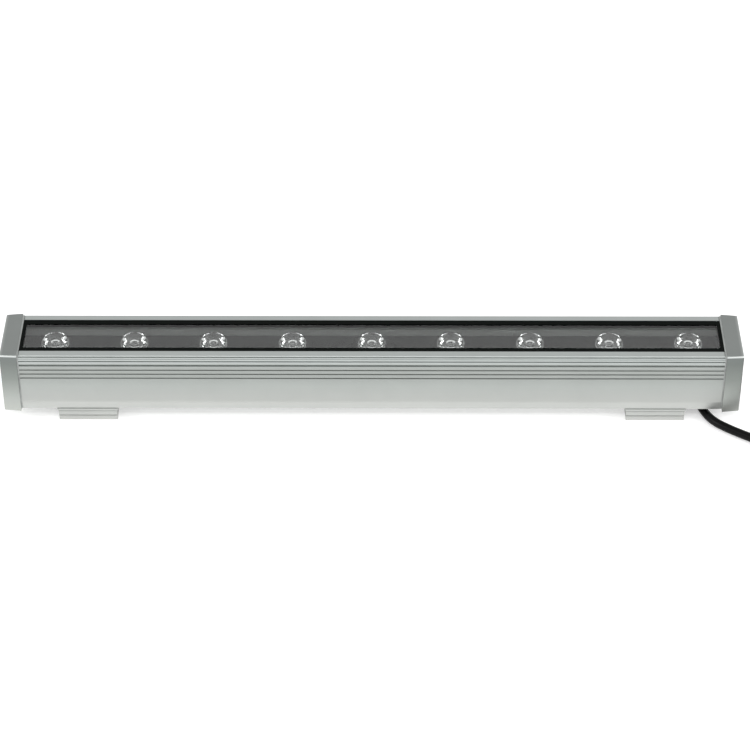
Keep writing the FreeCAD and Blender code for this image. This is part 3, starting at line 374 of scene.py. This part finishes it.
def coil_points():
    """Control points of the winding, pushed out a little so that the curve keeps its radius."""
    turns = WINDING[-1][0]
    steps = round(turns * STEPS_PER_TURN)
    for step in range(1, steps + 1):
        turn = turns * step / steps
        angle = math.radians(COIL_START) + TAU * turn
        radius = along(WINDING, turn) * MM * CONTROL_SCALE
        x = COIL_CENTRE[0] + radius * math.cos(angle)
        y = COIL_CENTRE[1] + radius * math.sin(angle)
        yield x, y, cord_height(turn)


def cord():
    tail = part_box("cord_connector")[0].y
    axis_x = COIL_CENTRE[0] + WINDING[-1][1] * MM
    points = [
        *CORD_ROUTE,
        *coil_points(),
        (axis_x, tail - LEAD_IN, LEAD_IN_Z),
        (axis_x, tail + LEAD_DEPTH, CONNECTOR_Z),
    ]
    line = bpy.data.curves.new("supply_cord", "CURVE")
    line.dimensions = "3D"
    line.bevel_depth = CORD_RADIUS
    line.bevel_resolution = 8
    line.use_fill_caps = True
    line.resolution_u = 12
    spline = line.splines.new("NURBS")
    spline.points.add(len(points) - 1)
    for control, place in zip(spline.points, points):
        control.co = (*place, 1.0)
    spline.order_u = 3
    spline.use_endpoint_u = True
    line.materials.append(MATERIALS["cable_rubber"])
    piece = bpy.data.objects.new("supply_cord", line)
    bpy.context.collection.objects.link(piece)
    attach(piece, "bar")
    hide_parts("power_cord", "cord_coil")


# The tie: a snug strap round the turns, its free end pressed down on the outside. Lengths in mm,
# angles in degrees.

FULL_TURN = 360
TIE_ANGLE = 60.0
TIE_HALF_WIDTH = 4.0
TIE_EDGE = 0.2
TIE_INSIDE, TIE_OUTSIDE, TIE_FLAP = 3.15, 4.05, 4.85
TIE_STEPS = 120
FLAP_REACH, FLAP_STEPS = 34.0, 24


def band(crossings, inside, outside, angles, closed):
    """Vertices and faces, in mm, of a band at two distances from the hull of the cord's crossings."""
    half, edge = TIE_HALF_WIDTH, TIE_EDGE
    section = [
        (inside, edge - half),
        (inside + edge, -half),
        (outside - edge, -half),
        (outside, edge - half),
        (outside, half - edge),
        (outside - edge, half),
        (inside + edge, half),
        (inside, half - edge),
    ]
    vertices, faces = [], []
    for angle in angles:
        normal = (math.cos(angle), math.sin(angle))
        radius, level = max(crossings, key=lambda c: c[0] * normal[0] + c[1] * normal[1])
        vertices += [(radius + off * normal[0], side, level + off * normal[1]) for off, side in section]
    count, around = len(section), len(angles)
    for ring in range(around if closed else around - 1):
        this, after = ring * count, (ring + 1) % around * count
        for i in range(count):
            j = (i + 1) % count
            faces.append((this + i, this + j, after + j, after + i))
    if not closed:
        last = (around - 1) * count
        faces.append(tuple(reversed(range(count))))
        faces.append(tuple(range(last, last + count)))
    return vertices, faces


def tie():
    turn = (TIE_ANGLE - COIL_START) / FULL_TURN
    crossings = []
    while turn < WINDING[-1][0]:
        crossings.append((along(WINDING, turn), cord_height(turn) / MM))
        turn += 1
    whole = [TAU * step / TIE_STEPS for step in range(TIE_STEPS)]
    reach = math.radians(FLAP_REACH)
    flap = [reach * (2 * step / FLAP_STEPS - 1) for step in range(FLAP_STEPS + 1)]
    heading = math.radians(TIE_ANGLE)
    across = Vector((math.cos(heading), math.sin(heading), 0.0))
    beside = Vector((-math.sin(heading), math.cos(heading), 0.0))
    vertices, faces = [], []
    bands = [
        band(crossings, TIE_INSIDE, TIE_OUTSIDE, whole, True),
        band(crossings, TIE_OUTSIDE, TIE_FLAP, flap, False),
    ]
    for places, sides in bands:
        start = len(vertices)
        for radius, side, level in places:
            flat = across * radius + beside * side
            x, y = COIL_CENTRE[0] + flat.x * MM, COIL_CENTRE[1] + flat.y * MM
            vertices.append((x, y, level * MM))
        faces += [tuple(start + i for i in side) for side in sides]
    add_piece("strap", "tie_fabric", vertices, faces, "coil_tie")


# The connector: a ribbed tail, a fluted grip and a socket with pins, under a knurled ring.

ROUND_STEPS = 160
TAIL_RIBS = 6
# Place and radius in mm where the tail's ribs start and end.
TAIL_FROM, TAIL_TO = (1.0, 3.69), (13.0, 6.0)
RIB_DEPTH = 0.5
# One rib and the groove after it, in shares of the ribs' pitch, with the depth at each.
RIB = [(0.1, 0.0), (0.5, 0.0), (0.6, RIB_DEPTH), (1.0, RIB_DEPTH)]
GRIP_FLUTES, RING_KNURLS = 16, 40
# Rings along Y from the tail's end in mm: place, radius, depth of the flutes or knurls.
TAIL_END = [(0.0, 3.4, 0.0), (0.2, 3.5, 0.0)]
GRIP = [
    (13.4, 6.1, 0.0),
    (14.0, 6.2, 0.0),
    (15.6, 6.2, 0.0),
    (16.6, 6.2, 0.6),
    (28.4, 6.2, 0.6),
    (29.4, 6.2, 0.0),
    (30.6, 6.2, 0.0),
    (31.0, 5.8, 0.0),
    (31.0, 4.9, 0.0),
    (45.7, 4.9, 0.0),
    (46.0, 4.6, 0.0),
    (46.0, 4.0, 0.0),
    (45.8, 3.9, 0.0),
    (41.0, 3.9, 0.0),
]
PIN = [(40.5, 0.9, 0.0), (44.4, 0.9, 0.0), (44.8, 0.7, 0.0), (45.0, 0.4, 0.0)]
PIN_CIRCLE = 2.4
PIN_ANGLES = (90, 210, 330)
KNURLED_RING = [
    (32.0, 5.3, 0.0),
    (32.0, 7.1, 0.0),
    (32.4, 7.5, 0.0),
    (33.4, 7.5, 0.0),
    (33.8, 7.6, 0.45),
    (41.2, 7.6, 0.45),
    (41.6, 7.5, 0.0),
    (43.6, 7.5, 0.0),
    (44.0, 7.1, 0.0),
    (44.0, 5.3, 0.0),
]


def turned(rings, ridges, x, z, closed=False):
    """Vertices and faces of a body turned about a line along Y through x and z in mm."""
    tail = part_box("cord_connector")[0].y / MM
    vertices, faces = [], []
    for place, radius, depth in rings:
        for step in range(ROUND_STEPS):
            angle = TAU * step / ROUND_STEPS
            reach = radius - depth * (0.5 - 0.5 * math.cos(ridges * angle))
            out, up = x + reach * math.cos(angle), z + reach * math.sin(angle)
            vertices.append((out * MM, (tail + place) * MM, up * MM))
    count = len(rings)
    for ring in range(count if closed else count - 1):
        this, after = ring * ROUND_STEPS, (ring + 1) % count * ROUND_STEPS
        for step in range(ROUND_STEPS):
            beside = (step + 1) % ROUND_STEPS
            faces.append((this + step, this + beside, after + beside, after + step))
    if not closed:
        faces.append(tuple(range(ROUND_STEPS)))
        faces.append(tuple(range(len(vertices) - ROUND_STEPS, len(vertices))))
    return vertices, faces


def connector():
    x, z = COIL_CENTRE[0] / MM + WINDING[-1][1], CONNECTOR_Z / MM
    tail = list(TAIL_END)
    pitch = (TAIL_TO[0] - TAIL_FROM[0]) / TAIL_RIBS
    for rib in range(TAIL_RIBS):
        for share, depth in RIB:
            place = TAIL_FROM[0] + pitch * (rib + share)
            tail.append((place, along([TAIL_FROM, TAIL_TO], place) - depth, 0.0))
    vertices, faces = turned(tail + GRIP, GRIP_FLUTES, x, z)
    for angle in PIN_ANGLES:
        turn = math.radians(angle)
        start = len(vertices)
        at = x + PIN_CIRCLE * math.cos(turn), z + PIN_CIRCLE * math.sin(turn)
        more, sides = turned(PIN, 0, *at)
        vertices += more
        faces += [tuple(start + i for i in side) for side in sides]
    add_piece("plug", "connector_plastic", vertices, faces, "cord_connector")
    vertices, faces = turned(KNURLED_RING, RING_KNURLS, x, z, closed=True)
    add_piece("plug_ring", "connector_plastic", vertices, faces, "connector_ring")


# Stage

FLOOR_REACH, FLOOR_DROP = 30.0, 0.1 * MM
FLOOR_GREYS, FLOOR_CLOUD_SCALE, FLOOR_GLOW = (0.82, 0.84), 0.6, 0.4
WORLD_STRENGTH = 0.82
# Name, place and aim in metres, width and depth in metres, power in watts.
LAMPS = [
    ("edge", (0.0, -1.2, 1.55), (0.0, 0.0, 0.03), (2.4, 0.25), 9.5),
    ("left", (-1.5, -0.5, 1.0), (0.0, 0.0, 0.04), (0.25, 0.6), 6.5),
    ("right", (1.5, -0.5, 1.0), (0.0, 0.0, 0.04), (0.25, 0.6), 6.5),
]
WHITE = (1.0, 1.0, 1.0, 1.0)
# The camera: where it looks, how far off it is, its angles in degrees and its lens in mm.
CAMERA_AIM, CAMERA_DISTANCE = (0.002258, 0.0, 0.021759), 1.8
CAMERA_AZIMUTH, CAMERA_ELEVATION = 0.139, 37.887
CAMERA_LENS, CAMERA_SENSOR = 126.07, 36.0


def floor():
    mesh = bpy.data.meshes.new("floor")
    reach, low = FLOOR_REACH, -FLOOR_DROP
    mesh.from_pydata(
        [(-reach, -reach, low), (reach, -reach, low), (reach, reach, low), (-reach, reach, low)],
        [],
        [(0, 1, 2, 3)],
    )
    paint = Paint("floor", Roughness=0.9, Emission_Color=WHITE, Emission_Strength=FLOOR_GLOW)
    greys = [(grey, grey, grey, 1.0) for grey in FLOOR_GREYS]
    cloud = paint.noise(FLOOR_CLOUD_SCALE, detail=2.0)
    paint.set(Base_Color=paint.ramp(cloud, *zip(CLOUD_STOPS, greys)))
    mesh.materials.append(paint.material)
    piece = bpy.data.objects.new("floor", mesh)
    bpy.context.collection.objects.link(piece)


def area_light(name, place, aim, size, power):
    lamp = bpy.data.lights.new(name, "AREA")
    lamp.shape = "RECTANGLE"
    lamp.size, lamp.size_y = size
    lamp.energy = power
    piece = bpy.data.objects.new(name, lamp)
    piece.location = place
    piece.rotation_euler = (Vector(aim) - Vector(place)).to_track_quat("-Z", "Y").to_euler()
    bpy.context.collection.objects.link(piece)


def lights():
    world = bpy.data.worlds.new("studio")
    world.use_nodes = True
    background = world.node_tree.nodes["Background"]
    background.inputs["Color"].default_value = WHITE
    background.inputs["Strength"].default_value = WORLD_STRENGTH
    bpy.context.scene.world = world
    for lamp in LAMPS:
        area_light(*lamp)


def camera():
    """Looks down on the bar from the front, at the angle and distance of a product shot."""
    azimuth, elevation = math.radians(CAMERA_AZIMUTH), math.radians(CAMERA_ELEVATION)
    aim = Vector(CAMERA_AIM)
    back = Vector(
        (
            math.sin(azimuth) * math.cos(elevation),
            -math.cos(azimuth) * math.cos(elevation),
            math.sin(elevation),
        )
    )
    eye = bpy.data.cameras.new("camera")
    eye.sensor_width = CAMERA_SENSOR
    eye.lens = CAMERA_LENS
    piece = bpy.data.objects.new("camera", eye)
    piece.location = aim + back * CAMERA_DISTANCE
    piece.rotation_euler = (-back).to_track_quat("-Z", "Y").to_euler()
    bpy.context.collection.objects.link(piece)
    bpy.context.scene.camera = piece


camera()
tie()
connector()
cord()
floor()
lights()
bpy.context.scene.view_settings.view_transform = "Standard"
